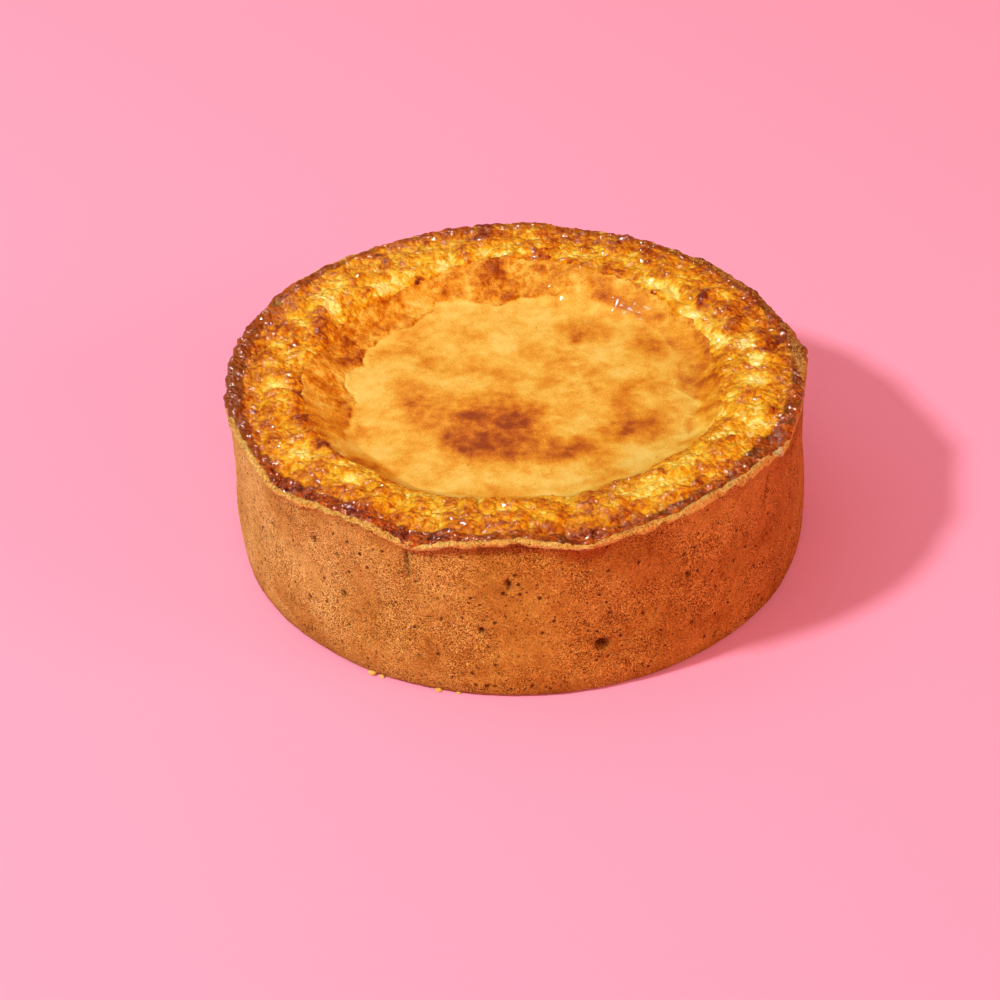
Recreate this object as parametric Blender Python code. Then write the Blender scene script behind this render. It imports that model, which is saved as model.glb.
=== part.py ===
"""A whole Italian cheesecake: a tall pastry shell with a wavy torn rim, and the browned cheese baked in it.

Blender 4.5, metres, +Z up. The cake rests on z = 0 and is centred on the origin, with its front towards -Y.
Azimuths are in degrees anticlockwise from +X, so the front is at -90 and the left side at 180.
"""

import bmesh
import bpy
import numpy as np
from mathutils import Matrix, Vector, noise

MM = 0.001

# Driving dimensions of the pastry shell.
FOOT_RADIUS = 100.0 * MM
WALL_RADIUS = 101.0 * MM
FOOT_BULGE = 1.2 * MM
FOOT_BULGE_HEIGHT = 13.0 * MM
FOOT_BULGE_REACH = 16.0 * MM
FOOT_ROUNDING = 2.6 * MM
FOOT_CHAMFER = 0.5 * MM
TOP_LEAN = 1.1 * MM
TOP_LEAN_AZIMUTH = 178.0
SHELL_THICKNESS = 4.0 * MM
FLOOR_THICKNESS = 4.5 * MM
FLOOR_CORNER = 2.5 * MM
RIM_THICKNESS = 2.4 * MM
RIM_TAPER = 6.0 * MM
LIP_DEPTH = 3.0 * MM
LIP_FLARE = 0.5 * MM
LIP_ROUNDING = 0.7 * MM
RIM_INNER_DROP = 0.3 * MM
RIM_RAGGEDNESS = 0.55 * MM
RIM_RAGGED_SPACING = 9.0 * MM
WALL_UNEVENNESS = 0.5 * MM
WALL_UNEVEN_SPACING = 24.0 * MM
MEAN_HEIGHT = 62.5 * MM

# How much of the rim's poke its lip has at its foot, and how far down the lip's widest row is.
LIP_FOOT_POKE = 0.35
LIP_WIDEST = 0.4

# The rim sags and pokes out at its corners: azimuth, height in mm, outward poke in mm.
RIM_KNOTS = (
    (-157, 63.2, 0.5),
    (-143, 61.4, 1.5),
    (-131, 64.6, 0.2),
    (-121, 65.2, 0.2),
    (-111, 62.4, 1.9),
    (-102, 65.4, 1.0),
    (-92, 67.0, 0.7),
    (-79, 63.6, 2.1),
    (-70, 64.1, 0.4),
    (-52, 65.5, 0.1),
    (-38, 64.7, 0.2),
    (-28, 61.8, 1.3),
    (-21, 64.4, 0.4),
    (-4, 63.0, 0.2),
    (17, 60.6, 1.2),
    (30, 62.2, 0.2),
    (52, 61.4, 0.6),
    (76, 60.8, 0.9),
    (88, 62.8, 0.2),
    (104, 62.2, 0.7),
    (120, 62.8, 0.2),
    (143, 63.8, 0.4),
    (157, 61.8, 1.3),
    (178, 62.8, 0.6),
)

# The wall is drawn in under the rim over the front, where the edge folds over most.
RECESS_DEPTH = 0.9 * MM
RECESS_AZIMUTH = -94.0
RECESS_HALF_WIDTH = 26.0
RECESS_BELOW_RIM = 5.0 * MM
RECESS_REACH = 3.0 * MM

# Blind pits and creases in the wall: azimuth, height, width, length and depth in mm, and tilt in degrees.
WALL_DENTS = (
    (-76.5, 19.9, 4.8, 4.6, 2.4, 0),
    (-93.7, 48.1, 2.2, 5.4, 1.2, 12),
    (-98.7, 28.7, 2.2, 2.4, 1.2, 0),
    (-112.6, 51.0, 1.7, 18.0, 1.1, 0),
    (-35.5, 51.0, 2.0, 16.0, 1.2, -14),
    (-23.7, 50.0, 1.8, 15.0, 1.0, -18),
    (-127.0, 31.0, 2.2, 2.4, 1.1, 0),
    (-58.0, 37.0, 1.8, 4.2, 1.0, 20),
    (-133.5, 48.0, 2.0, 4.6, 1.0, -8),
    (152.0, 30.0, 2.4, 2.6, 1.2, 0),
    (62.0, 24.0, 2.6, 2.4, 1.2, 0),
    (101.0, 42.0, 2.0, 12.0, 1.0, 10),
)

# Each dent's cutter is a ball that stands a little out of the wall and is wider than the dent it leaves.
CUTTER_STAND_OUT = 0.35
CUTTER_WIDENING = 1.04

# Driving dimensions of the filling.
FILLING_GAP = 0.3 * MM
FILLING_BELOW_RIM = 2.2 * MM
CENTRE_HEIGHT = 52.8 * MM
CENTRE_SWELL = 0.8 * MM
CENTRE_SWELL_SPACING = 34.0 * MM
CRAG_HEIGHT = 1.5 * MM
CRAG_SPACING = 13.0 * MM
FINE_CRAG_HEIGHT = 0.9 * MM
FINE_CRAG_SPACING = 7.5 * MM
MEAN_CRAG = 0.4
TORN_EDGE = 1.6 * MM
TORN_EDGE_SPACING = 11.0 * MM

# The sunken middle's uneven foot: azimuth, radius in mm.
MIDDLE_KNOTS = (
    (-147, 62.5),
    (-121, 64.5),
    (-103, 61.8),
    (-65, 61.6),
    (-43, 63.4),
    (-25, 64.5),
    (-8, 62.5),
    (14, 64.2),
    (34, 62.4),
    (48, 57.5),
    (60, 55.5),
    (72, 53.8),
    (84, 57.8),
    (95, 58.6),
    (115, 63.5),
    (130, 63.8),
    (141, 66.5),
    (157, 65.0),
    (170, 60.5),
    (-173, 62.5),
)

# The raised ring from the middle's foot to the edge: share of the way out, height in mm, share of the crags.
RING_PROFILE = (
    (0.00, 53.4, 0.15),
    (0.08, 54.7, 0.35),
    (0.16, 56.4, 0.50),
    (0.25, 58.4, 0.70),
    (0.34, 60.2, 0.85),
    (0.44, 61.5, 1.00),
    (0.54, 62.1, 1.00),
    (0.65, 62.3, 1.00),
    (0.76, 62.1, 1.00),
    (0.86, 61.5, 0.80),
    (0.94, 60.8, 0.40),
)

# Where each kind of noise starts, so that no two are alike.
RIM_SEED = 3.7
WALL_SEED = 8.1
CRAG_SEED = 1.3
FINE_CRAG_SEED = 6.9
TORN_EDGE_SEED = 5.3
SWELL_SEED = 2.2

# How the two meshes are divided.
SEGMENTS = 136
WALL_HEIGHTS = [height * MM for height in (9.5, 16.5, 23.5, 30.5, 37.5, 44.5, 50.5)]
MIDDLE_SHARES = (0.18, 0.38, 0.58, 0.77, 0.91)


def clear_scene():
    for item in list(bpy.data.objects):
        bpy.data.objects.remove(item, do_unlink=True)


def around(azimuth, knots, column):
    """A knot column's value all round the cake, eased from each knot to the next."""
    knots = sorted(knots)
    turns = [knot[0] for knot in knots] + [knots[0][0] + 360]
    values = [knot[column] for knot in knots] + [knots[0][column]]
    wrapped = (azimuth - turns[0]) % 360 + turns[0]
    index = np.clip(np.searchsorted(turns, wrapped, side="right") - 1, 0, len(knots) - 1)
    turns = np.array(turns, float)
    values = np.array(values, float)
    share = (wrapped - turns[index]) / (turns[index + 1] - turns[index])
    eased = share * share * (3 - 2 * share)
    return values[index] + (values[index + 1] - values[index]) * eased


def noise_at(x, y, z, spacing, seed):
    """Smooth noise between about -1 and 1, whose hills are about spacing apart."""
    points = np.stack(np.broadcast_arrays(x, y, z), axis=-1) / spacing + seed
    flat = [noise.noise(Vector(point)) for point in points.reshape(-1, 3)]
    return np.array(flat).reshape(points.shape[:-1])


def crag(x, y, spacing, seed):
    """Rounded hills with sharp creases between them, from 0 to 1, with a mean near 0.4."""
    return np.minimum(2.4 * np.abs(noise_at(x, y, 0.0, spacing, seed)), 1.0)


def closeness(azimuth, centre, half_width):
    """1 at the centre azimuth, easing to 0 half_width degrees away from it."""
    away = np.abs((azimuth - centre + 180) % 360 - 180) / half_width
    return np.where(away < 1, 0.5 + 0.5 * np.cos(np.pi * np.minimum(away, 1)), 0.0)


def rim_height(azimuth):
    angle = np.radians(azimuth)
    x, y = WALL_RADIUS * np.cos(angle), WALL_RADIUS * np.sin(angle)
    ragged = noise_at(x, y, 0.0, RIM_RAGGED_SPACING, RIM_SEED)
    return around(azimuth, RIM_KNOTS, 1) * MM + RIM_RAGGEDNESS * ragged


def wall_radius(azimuth, height):
    """The shell's outer face, from just over its rounded foot up to the rim."""
    angle = np.radians(azimuth)
    bulge = FOOT_BULGE * np.exp(-(((height - FOOT_BULGE_HEIGHT) / FOOT_BULGE_REACH) ** 2))
    lean = TOP_LEAN * np.cos(np.radians(azimuth - TOP_LEAN_AZIMUTH)) * height / MEAN_HEIGHT
    x, y = WALL_RADIUS * np.cos(angle), WALL_RADIUS * np.sin(angle)
    uneven = WALL_UNEVENNESS * noise_at(x, y, height, WALL_UNEVEN_SPACING, WALL_SEED)
    recess_line = rim_height(azimuth) - RECESS_BELOW_RIM
    recess = RECESS_DEPTH * closeness(azimuth, RECESS_AZIMUTH, RECESS_HALF_WIDTH)
    recess = recess * np.exp(-(((height - recess_line) / RECESS_REACH) ** 2))
    return WALL_RADIUS + bulge + lean + uneven - recess


def inner_radius(azimuth, height):
    """The shell's inner face, which leans out to the thinner rim over its last few millimetres."""
    below_rim = np.clip((rim_height(azimuth) - height) / RIM_TAPER, 0, 1)
    thickness = RIM_THICKNESS + (SHELL_THICKNESS - RIM_THICKNESS) * below_rim
    poke = around(azimuth, RIM_KNOTS, 2) * MM * (1 - below_rim)
    return wall_radius(azimuth, height) + poke - thickness


def ring_row(azimuth, radius, height):
    angle = np.radians(azimuth)
    height = np.broadcast_to(height, azimuth.shape)
    return np.stack([radius * np.cos(angle), radius * np.sin(angle), height], axis=-1)


def inner_rows(azimuth, inset):
    """The rows that the shell's inside and the filling's side share, from the floor up."""
    floor = FLOOR_THICKNESS + inset
    corner = floor + FLOOR_CORNER
    top = rim_height(azimuth) - FILLING_BELOW_RIM
    rows = [ring_row(azimuth, inner_radius(azimuth, corner) - FLOOR_CORNER - inset, floor)]
    for height in (corner, 0.5 * MEAN_HEIGHT, top - RIM_TAPER, top):
        rows.append(ring_row(azimuth, inner_radius(azimuth, height) - inset, height))
    return rows


def shell_rows(azimuth):
    """The shell's rows of points: out under the foot, up the wall, over the rim and down inside."""
    foot = wall_radius(azimuth, FOOT_ROUNDING)
    rim = rim_height(azimuth)
    poke = around(azimuth, RIM_KNOTS, 2) * MM
    rows = [
        ring_row(azimuth, foot + FOOT_RADIUS - WALL_RADIUS - FOOT_BULGE / 2, 0.0),
        ring_row(azimuth, foot - FOOT_CHAMFER, 0.3 * FOOT_ROUNDING),
        ring_row(azimuth, foot, FOOT_ROUNDING),
    ]
    for height in WALL_HEIGHTS:
        rows.append(ring_row(azimuth, wall_radius(azimuth, height), height))
    under_lip = rim - RECESS_BELOW_RIM
    rows.append(ring_row(azimuth, wall_radius(azimuth, under_lip), under_lip))
    lip_foot = rim - LIP_DEPTH
    rows.append(ring_row(azimuth, wall_radius(azimuth, lip_foot) + LIP_FOOT_POKE * poke, lip_foot))
    lip = wall_radius(azimuth, rim) + poke + LIP_FLARE
    rows.append(ring_row(azimuth, lip, rim - LIP_WIDEST * LIP_DEPTH))
    rows.append(ring_row(azimuth, lip - LIP_ROUNDING, rim))
    rows.append(ring_row(azimuth, lip - RIM_THICKNESS, rim - RIM_INNER_DROP))
    return rows + inner_rows(azimuth, 0.0)[::-1]


def middle_foot(azimuth):
    """Radius at which the sunken middle meets the ring's inner slope."""
    angle = np.radians(azimuth)
    radius = around(azimuth, MIDDLE_KNOTS, 1) * MM
    x, y = radius * np.cos(angle), radius * np.sin(angle)
    return radius + TORN_EDGE * noise_at(x, y, 0.0, TORN_EDGE_SPACING, TORN_EDGE_SEED)


def filling_rows(azimuth):
    """The filling's rows: out over the shell's floor, up its side, and over the ring to the middle."""
    angle = np.radians(azimuth)
    rows = inner_rows(azimuth, FILLING_GAP)
    edge = rows[-1]
    edge_radius = np.hypot(edge[:, 0], edge[:, 1])
    edge_height = edge[:, 2]
    foot = middle_foot(azimuth)
    follow = edge_height - (MEAN_HEIGHT - FILLING_BELOW_RIM)
    for share, height, crags in reversed(RING_PROFILE):
        radius = foot + (edge_radius - foot) * share
        x, y = radius * np.cos(angle), radius * np.sin(angle)
        relief = CRAG_HEIGHT * (crag(x, y, CRAG_SPACING, CRAG_SEED) - MEAN_CRAG)
        fine = crag(x, y, FINE_CRAG_SPACING, FINE_CRAG_SEED) - MEAN_CRAG
        relief = relief + FINE_CRAG_HEIGHT * fine
        rows.append(ring_row(azimuth, radius, height * MM + crags * relief + share * follow))
    for share in reversed(MIDDLE_SHARES):
        radius = foot * share
        x, y = radius * np.cos(angle), radius * np.sin(angle)
        swell = noise_at(x, y, 0.0, CENTRE_SWELL_SPACING, SWELL_SEED)
        rows.append(ring_row(azimuth, radius, CENTRE_HEIGHT + CENTRE_SWELL * swell))
    return rows


def build_mesh(name, rows, first_pole, last_pole):
    """A closed triangle mesh through the rows, with a fan to a pole at each end."""
    rows = [[Vector(point) for point in row] for row in rows]
    shape = bmesh.new()
    loops = [[shape.verts.new(point) for point in row] for row in rows]
    count = len(loops[0])
    ends = [shape.verts.new(first_pole), shape.verts.new(last_pole)]
    for i in range(count):
        after = (i + 1) % count
        shape.faces.new((ends[0], loops[0][after], loops[0][i]))
        shape.faces.new((ends[1], loops[-1][i], loops[-1][after]))
    for low, high in zip(loops, loops[1:]):
        for i in range(count):
            after = (i + 1) % count
            shape.faces.new((low[i], low[after], high[after]))
            shape.faces.new((low[i], high[after], high[i]))
    mesh = bpy.data.meshes.new(name)
    shape.to_mesh(mesh)
    shape.free()
    mesh.shade_smooth()
    return mesh


def place(name, mesh):
    item = bpy.data.objects.new(name, mesh)
    bpy.context.scene.collection.objects.link(item)
    return item


def material(name, color, roughness, coat=0.0):
    made = bpy.data.materials.new(name)
    made.use_nodes = True
    shader = made.node_tree.nodes["Principled BSDF"]
    shader.inputs["Base Color"].default_value = (*color, 1.0)
    shader.inputs["Roughness"].default_value = roughness
    shader.inputs["Coat Weight"].default_value = coat
    return made


def dent_cutters():
    """Every dent's cutter, an upright oval ball sunk to its depth in the wall, as one hidden object."""
    shape = bmesh.new()
    for azimuth, height, width, length, depth, tilt in WALL_DENTS:
        radius = float(wall_radius(np.array([float(azimuth)]), np.array([height * MM]))[0])
        outside = CUTTER_STAND_OUT * depth * MM
        place_at = Matrix.Rotation(np.radians(azimuth), 4, "Z")
        place_at = place_at @ Matrix.Translation((radius + outside, 0, height * MM))
        place_at = place_at @ Matrix.Rotation(np.radians(tilt), 4, "X")
        half_width, half_length = 0.5 * CUTTER_WIDENING * width * MM, 0.5 * CUTTER_WIDENING * length * MM
        stretch = Matrix.Diagonal((outside + depth * MM, half_width, half_length, 1))
        bmesh.ops.create_icosphere(shape, subdivisions=2, radius=1, matrix=place_at @ stretch)
    mesh = bpy.data.meshes.new("wall_dent_cutters")
    shape.to_mesh(mesh)
    shape.free()
    cutters = place("wall_dent_cutters", mesh)
    cutters.hide_render = True
    cutters.display_type = "WIRE"
    return cutters


def pastry_shell(azimuth):
    rows = shell_rows(azimuth)
    mesh = build_mesh("pastry_shell", rows, (0, 0, 0), (0, 0, FLOOR_THICKNESS))
    mesh.materials.append(material("baked_pastry", (0.56, 0.26, 0.09), 0.75))
    return place("pastry_shell", mesh)


def cheese_filling(azimuth):
    rows = filling_rows(azimuth)
    floor = FLOOR_THICKNESS + FILLING_GAP
    mesh = build_mesh("cheese_filling", rows, (0, 0, floor), (0, 0, CENTRE_HEIGHT))
    mesh.materials.append(material("browned_cheese", (0.80, 0.42, 0.08), 0.45, 0.3))
    return place("cheese_filling", mesh)


def centre_on_origin(items, outermost):
    """Moves every mesh alike, so that the outermost item's box is centred on the Z axis."""
    points = np.array([vertex.co for vertex in outermost.data.vertices])
    middle = (points.min(axis=0) + points.max(axis=0)) / 2
    for item in items:
        item.data.transform(Matrix.Translation((-middle[0], -middle[1], 0)))


def main():
    clear_scene()
    azimuth = np.arange(SEGMENTS) * 360.0 / SEGMENTS - 180.0
    shell = pastry_shell(azimuth)
    filling = cheese_filling(azimuth)
    cutters = dent_cutters()
    centre_on_origin([shell, filling, cutters], shell)
    cut = shell.modifiers.new("wall dents", "BOOLEAN")
    cut.operation = "DIFFERENCE"
    cut.object = cutters


main()
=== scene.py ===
"""The looks of a whole Italian cheesecake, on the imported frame: pitted pastry, a browned craggy ring of
cheese, a smoother sunken middle and a few crumbs, with the photograph's light and viewing angle.

Metres, +Z up, with the front towards -Y. Azimuths are in degrees anticlockwise from +X.
"""

import math

import bmesh
import bpy
import numpy as np
from mathutils import Matrix, Vector, noise


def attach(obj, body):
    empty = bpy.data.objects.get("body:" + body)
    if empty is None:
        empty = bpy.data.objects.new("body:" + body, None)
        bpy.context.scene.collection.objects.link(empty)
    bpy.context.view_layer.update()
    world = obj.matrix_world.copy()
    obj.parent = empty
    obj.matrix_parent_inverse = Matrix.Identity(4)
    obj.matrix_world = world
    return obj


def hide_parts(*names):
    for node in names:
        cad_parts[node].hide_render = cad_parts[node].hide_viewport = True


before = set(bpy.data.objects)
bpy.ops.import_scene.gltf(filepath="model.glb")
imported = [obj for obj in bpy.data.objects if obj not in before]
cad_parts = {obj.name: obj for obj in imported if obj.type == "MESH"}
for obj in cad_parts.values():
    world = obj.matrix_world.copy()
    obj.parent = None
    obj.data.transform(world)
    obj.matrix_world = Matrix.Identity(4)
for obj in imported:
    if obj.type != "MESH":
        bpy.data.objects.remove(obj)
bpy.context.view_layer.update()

MM = 0.001

# Driving dimensions of the pastry shell, the same as those of its solid.
FOOT_RADIUS = 100.0 * MM
WALL_RADIUS = 101.0 * MM
FOOT_BULGE = 1.2 * MM
FOOT_BULGE_HEIGHT = 13.0 * MM
FOOT_BULGE_REACH = 16.0 * MM
FOOT_ROUNDING = 2.6 * MM
FOOT_CHAMFER = 0.5 * MM
TOP_LEAN = 1.1 * MM
TOP_LEAN_AZIMUTH = 178.0
SHELL_THICKNESS = 4.0 * MM
FLOOR_THICKNESS = 4.5 * MM
FLOOR_CORNER = 2.5 * MM
RIM_THICKNESS = 2.4 * MM
RIM_TAPER = 6.0 * MM
LIP_DEPTH = 3.0 * MM
LIP_FLARE = 0.5 * MM
LIP_ROUNDING = 0.7 * MM
RIM_INNER_DROP = 0.3 * MM
RIM_RAGGEDNESS = 0.55 * MM
RIM_RAGGED_SPACING = 9.0 * MM
WALL_UNEVENNESS = 0.5 * MM
WALL_UNEVEN_SPACING = 24.0 * MM
MEAN_HEIGHT = 62.5 * MM
WALL_HEIGHTS = [height * MM for height in (9.5, 16.5, 23.5, 30.5, 37.5, 44.5, 50.5)]

# How much of the rim's poke its lip has at its foot, and how far down the lip's widest row is.
LIP_FOOT_POKE = 0.35
LIP_WIDEST = 0.4

# The rim sags and pokes out at its corners: azimuth, height in mm, outward poke in mm.
RIM_KNOTS = (
    (-157, 63.2, 0.5), (-143, 61.4, 1.5), (-131, 64.6, 0.2), (-121, 65.2, 0.2), (-111, 62.4, 1.9),
    (-102, 65.4, 1), (-92, 67, 0.7), (-79, 63.6, 2.1), (-70, 64.1, 0.4), (-52, 65.5, 0.1),
    (-38, 64.7, 0.2), (-28, 61.8, 1.3), (-21, 64.4, 0.4), (-4, 63, 0.2), (17, 60.6, 1.2),
    (30, 62.2, 0.2), (52, 61.4, 0.6), (76, 60.8, 0.9), (88, 62.8, 0.2), (104, 62.2, 0.7),
    (120, 62.8, 0.2), (143, 63.8, 0.4), (157, 61.8, 1.3), (178, 62.8, 0.6),
)

# The wall is drawn in under the rim over the front, where the edge folds over most.
RECESS_DEPTH = 0.9 * MM
RECESS_AZIMUTH = -94.0
RECESS_HALF_WIDTH = 26.0
RECESS_BELOW_RIM = 5.0 * MM
RECESS_REACH = 3.0 * MM

# Pits and creases in the wall, as in the solid, where the fourth is a little longer and narrower: azimuth,
# height, width, length and depth in mm, and tilt in degrees.
WALL_DENTS = (
    (-76.5, 19.9, 4.8, 4.6, 2.4, 0), (-93.7, 48.1, 2.2, 5.4, 1.2, 12), (-98.7, 28.7, 2.2, 2.4, 1.2, 0),
    (-112.6, 52, 2, 14, 1.2, 3), (-35.5, 51, 2, 16, 1.2, -14), (-23.7, 50, 1.8, 15, 1, -18),
    (-127, 31, 2.2, 2.4, 1.1, 0), (-58, 37, 1.8, 4.2, 1, 20), (-133.5, 48, 2, 4.6, 1, -8),
    (152, 30, 2.4, 2.6, 1.2, 0), (62, 24, 2.6, 2.4, 1.2, 0), (101, 42, 2, 12, 1, 10),
)

# Driving dimensions of the filling, the same as those of its solid.
FILLING_GAP = 0.3 * MM
FILLING_BELOW_RIM = 2.2 * MM
CENTRE_HEIGHT = 52.8 * MM
CENTRE_SWELL = 0.8 * MM
CENTRE_SWELL_SPACING = 34.0 * MM
CRAG_HEIGHT = 1.5 * MM
CRAG_SPACING = 13.0 * MM
FINE_CRAG_HEIGHT = 0.9 * MM
FINE_CRAG_SPACING = 7.5 * MM
MEAN_CRAG = 0.4
TORN_EDGE = 1.6 * MM
TORN_EDGE_SPACING = 11.0 * MM

# The sunken middle's uneven foot: azimuth, radius in mm.
MIDDLE_KNOTS = (
    (-147, 62.5), (-121, 64.5), (-103, 61.8), (-65, 61.6), (-43, 63.4), (-25, 64.5), (-8, 62.5),
    (14, 64.2), (34, 62.4), (48, 57.5), (60, 55.5), (72, 53.8), (84, 57.8), (95, 58.6), (115, 63.5),
    (130, 63.8), (141, 66.5), (157, 65), (170, 60.5), (-173, 62.5),
)

# The raised ring from the middle's foot to the edge: share of the way, height in mm, share of the crags.
RING_PROFILE = (
    (0, 53.4, 0.15), (0.08, 54.7, 0.35), (0.16, 56.4, 0.5), (0.25, 58.4, 0.7), (0.34, 60.2, 0.85),
    (0.44, 61.5, 1), (0.54, 62.1, 1), (0.65, 62.3, 1), (0.76, 62.1, 1), (0.86, 61.5, 0.8),
    (0.94, 60.8, 0.4), (1, 60.3, 0.3),
)

# Where each kind of noise and each row of random draws starts, so that no two are alike.
RIM_SEED = 3.7
WALL_SEED = 8.1
CRAG_SEED = 1.3
FINE_CRAG_SEED = 6.9
TORN_EDGE_SEED = 5.3
SWELL_SEED = 2.2
PITS_SEED = 11
CRUMBS_SEED = 5

# How the solids are divided, and how finely the scene's own pieces are. The crust's first gaps lie outside.
SOLID_SEGMENTS = 136
CRUST_SEGMENTS = 880
CRUST_STEPS = (2, 3, 9, 9, 9, 9, 9, 9, 8, 11, 8, 6, 4, 4, 3, 2, 1, 1, 1)
CRUST_OUTSIDE_GAPS = 13
RING_SEGMENTS = 1080
RING_ROWS = 76
RING_EDGE_STEPS = (2, 3, 3, 4, 3)
MIDDLE_SEGMENTS = 900
MIDDLE_ROWS = 104

# How golden (1) or brown (0) the pastry's torn edge is, how knobbly and dark, and how far it hangs out.
RIM_COLOR_KNOTS = (
    (-178, 0, 0.7, 0), (-163, 0.7, 0.4, 0), (-150, 1, 0.1, 0), (-90, 1, 0, 0), (-66, 0.8, 0, 0),
    (-40, 0.75, 0, 0), (-20, 0.65, 0, -0.4), (-13, 0.5, 0.1, -1.3), (-5, 0.4, 0.4, 0.6),
    (4, 0.3, 1, 1.5), (12, 0.1, 1, 0.6), (18, 0.1, 1, 0), (45, 0.1, 1, 0), (70, 0.3, 0.5, 0),
    (95, 0.5, 0.3, 0), (112, 0.8, 0.1, 0), (140, 0.7, 0.2, 0), (158, 0, 0.7, 0),
)

# On the pastry: one pale flake that stands out, a pinch in the wall under the rim, darkened with painted
# shade, and many small pits, darkened with painted shade too.
PALE_FLAKE_AZIMUTH = -31.0
PINCH_AZIMUTH = -78.0
SMALL_PITS = 220

# The cheese's outer edge: azimuth, the width of rim that it leaves bare and its rise over the rim in mm,
# the width of its dark band, and how dark that is.
EDGE_KNOTS = (
    (-178, 0.6, 0.2, 4.2, 0.7), (-170, 1, 0, 3.6, 0.85), (-165, 2.2, -0.8, 3, 0.9),
    (-157, 2.2, -1, 3, 0.9), (-150, 2.2, -1, 3.6, 0.95), (-143, 1, -0.4, 5, 1), (-136, 2, -0.9, 4.2, 1),
    (-128, 2.2, -1, 6, 1), (-120, 2.2, -1, 4, 1), (-111, 0.9, -0.5, 5.5, 1), (-104, 2, -1, 3.6, 0.95),
    (-98, 2.2, -1, 2, 0.85), (-88, 2.2, -1, 2, 0.8), (-79.5, 0.8, -0.8, 5, 1),
    (-73, 1.6, -0.9, 3.4, 0.95), (-62, 2.2, -1.2, 3.4, 0.9), (-50, 2, -1.2, 3.6, 0.9),
    (-40, 1.8, -1, 5, 0.9), (-31, 1.6, -0.8, 7, 0.9), (-22, 0.8, -0.4, 4, 0.9),
    (-10, 0.8, -0.5, 3, 0.85), (8, 2, -0.9, 2.4, 0.8), (45, 2.1, -1, 2.4, 0.8),
    (65, 0.9, -0.4, 2.6, 0.5), (78, 0.8, -0.2, 2.6, 0.4), (97, 0.8, -0.2, 2.6, 0.4),
    (112, 1.2, -0.6, 2.4, 0.7), (140, 1.2, -0.6, 2.6, 0.75), (150, 0.8, 0, 3.4, 0.7),
    (163, 0.6, 0.2, 4, 0.7),
)

# Soft yellow spots on the ring, and the palest, where it is torn open: azimuth, radius and size in mm.
YELLOW_SPOTS = (
    (-178, 85, 5), (-172, 82, 4), (-149, 86, 5), (-139, 80, 4), (-134, 85, 4), (-131, 78, 3),
    (-124, 77, 3), (-118, 82, 4), (-115, 76, 3), (-110, 87, 3), (-104, 79, 3), (-101, 76, 3),
    (-95, 84, 4), (-85, 86, 2), (-79, 76, 2), (-79, 72, 2), (-72, 87, 4), (-66, 81, 3), (-63, 84, 3),
    (-57, 84, 4), (-53, 86, 3), (-50, 80, 3), (-46, 81, 3), (-41, 77, 3), (-25, 88, 5), (-20, 85, 3),
    (-20, 75, 3), (-14, 76, 3), (12, 83, 3), (24, 73, 3), (31, 89, 3), (36, 88, 3), (33, 74, 3),
    (54, 80, 3), (60, 84, 3), (60, 90, 2), (66, 78, 3), (70, 82, 3), (75, 82, 3), (83, 85, 3),
    (86, 92, 3), (88, 80, 3), (92, 85, 3), (101, 75, 2), (103, 92, 3), (107, 83, 3), (111, 89, 2),
    (116, 82, 3), (138, 89, 4), (143, 87, 4), (155, 87, 3), (164, 76, 3), (165, 89, 3), (173, 87, 3),
)
TORN_SPOTS = (
    (-34, 80, 3), (-31.5, 80, 3), (-8, 83, 5), (2, 84.5, 4), (9, 83, 3), (14, 75.5, 3), (17.5, 75.5, 3),
    (21, 75.5, 3), (29, 72.5, 3), (40, 76, 3), (43, 76, 3), (46, 76, 3), (49.5, 75.5, 3), (77.5, 79, 3),
    (93, 79, 3), (98, 81, 3), (110, 77, 3.5), (120, 77, 3), (124, 77, 3), (128, 77, 3), (131, 77, 3),
    (146, 83, 4),
)

# Brown lumps on the ring: azimuth, radius, size and height in mm.
BROWN_LUMPS = (
    (-174, 77, 4, 0.5), (-163, 79, 3.5, 0.5), (-150, 79, 3.5, 0.5), (-78, 77, 2, 0.3), (-64, 79, 2, 0.3),
    (-55, 80.5, 3, 0.7), (-51, 92, 3, 0.4), (-47, 84, 2, 0.3), (-33, 83, 3, 0.5), (-31, 77.5, 2, 0.3),
    (5, 87.5, 3, 0.9), (16, 80, 3.4, 1.1), (19, 83, 4.4, 1.2), (21, 86.5, 2.2, 0.6), (30, 78, 2.4, 0.9),
    (32, 81, 2.8, 1.1), (34, 84, 2.4, 0.8), (53, 76, 2, 0.4), (54, 86, 3, 0.6), (65, 95, 2, 0.3),
    (72, 88, 2.4, 0.4), (98, 92, 4, 0.5), (93, 73, 3, 0.4), (110, 95, 2, 0.3), (113, 71, 3, 0.4),
    (118, 73, 3, 0.4), (122, 95, 3, 0.4), (123, 87, 4, 0.7), (128, 69, 4, 0.5), (133, 80, 2.6, 0.5),
    (149, 82.5, 3.6, 0.8), (153, 80, 4.2, 0.9), (157, 77, 4, 0.8), (152, 67, 3, 0.4), (161, 65, 3, 0.4),
    (164, 82.5, 3, 0.4), (172, 71, 4, 0.5),
)

# Sides of the ring, and of the slope inside it, that are browner than the rest, or paler where the last
# number is below 0: azimuth, half width in degrees, how much.
RING_SIDES = ((82, 40, 0.05), (128, 36, -0.11), (180, 60, 0.05), (-42, 45, -0.10))
SLOPE_SIDES = ((95, 75, 0.24), (172, 60, 0.26), (10, 60, 0.34))

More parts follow.
